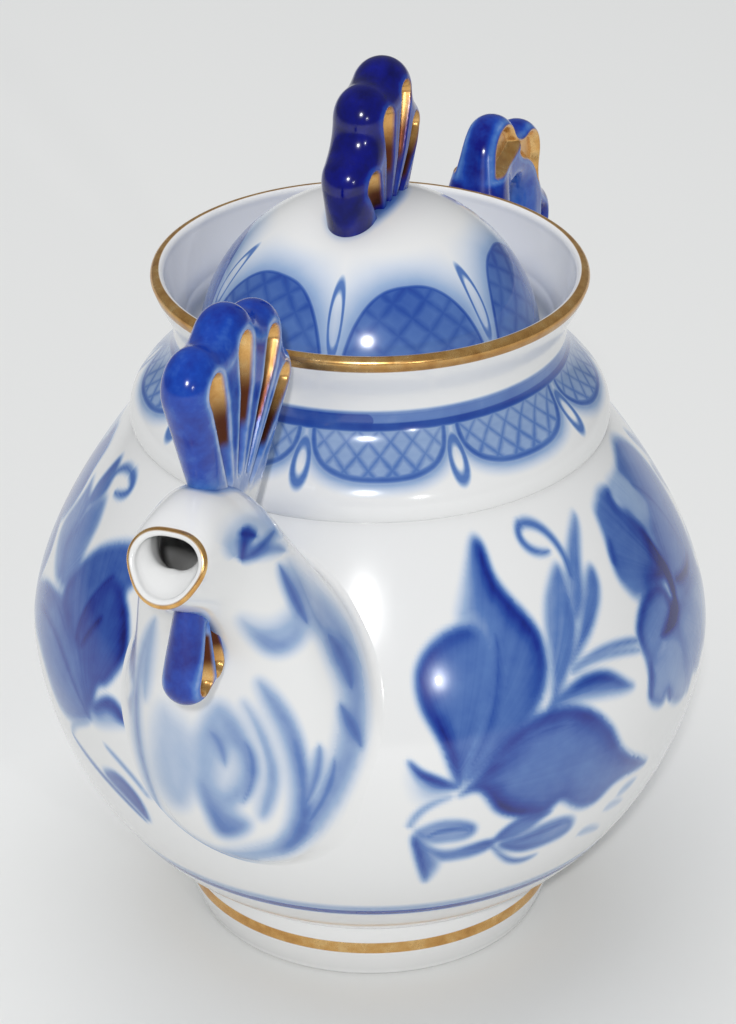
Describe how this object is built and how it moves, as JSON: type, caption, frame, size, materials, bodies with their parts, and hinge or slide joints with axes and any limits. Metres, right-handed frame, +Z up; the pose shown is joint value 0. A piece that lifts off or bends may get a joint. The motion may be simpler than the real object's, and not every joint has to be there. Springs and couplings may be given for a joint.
{
  "type": "teapot",
  "caption": "Round-bellied porcelain teapot with a bird-head spout, lobed comb and tail-shaped handle, and a loose domed lid with a lobed finial, painted in cobalt and gold.",
  "frame": {"origin": "on the pot's axis, at the table that the foot ring stands on", "axes": "+X from the axis towards the spout's mouth, +Z up, +Y to the left of someone looking along +X"},
  "size_m": [0.2175, 0.15, 0.2014],
  "materials": {
    "white_glaze": "glossy clear glaze over white porcelain, painted in cobalt and gold",
    "cobalt_glaze": "glossy cobalt glaze with gilded flutes"
  },
  "bodies": {
    "pot": {"body": "white_glaze", "spout": "white_glaze", "comb": "cobalt_glaze", "wattle": "cobalt_glaze", "handle": "cobalt_glaze"},
    "lid": {"lid": "white_glaze", "finial": "cobalt_glaze"}
  },
  "joints": [
    {"name": "lid_lift", "type": "slide", "parent": "pot", "child": "lid", "axis": [0, 0, 1], "range_m": [0, 0.06]}
  ]
}
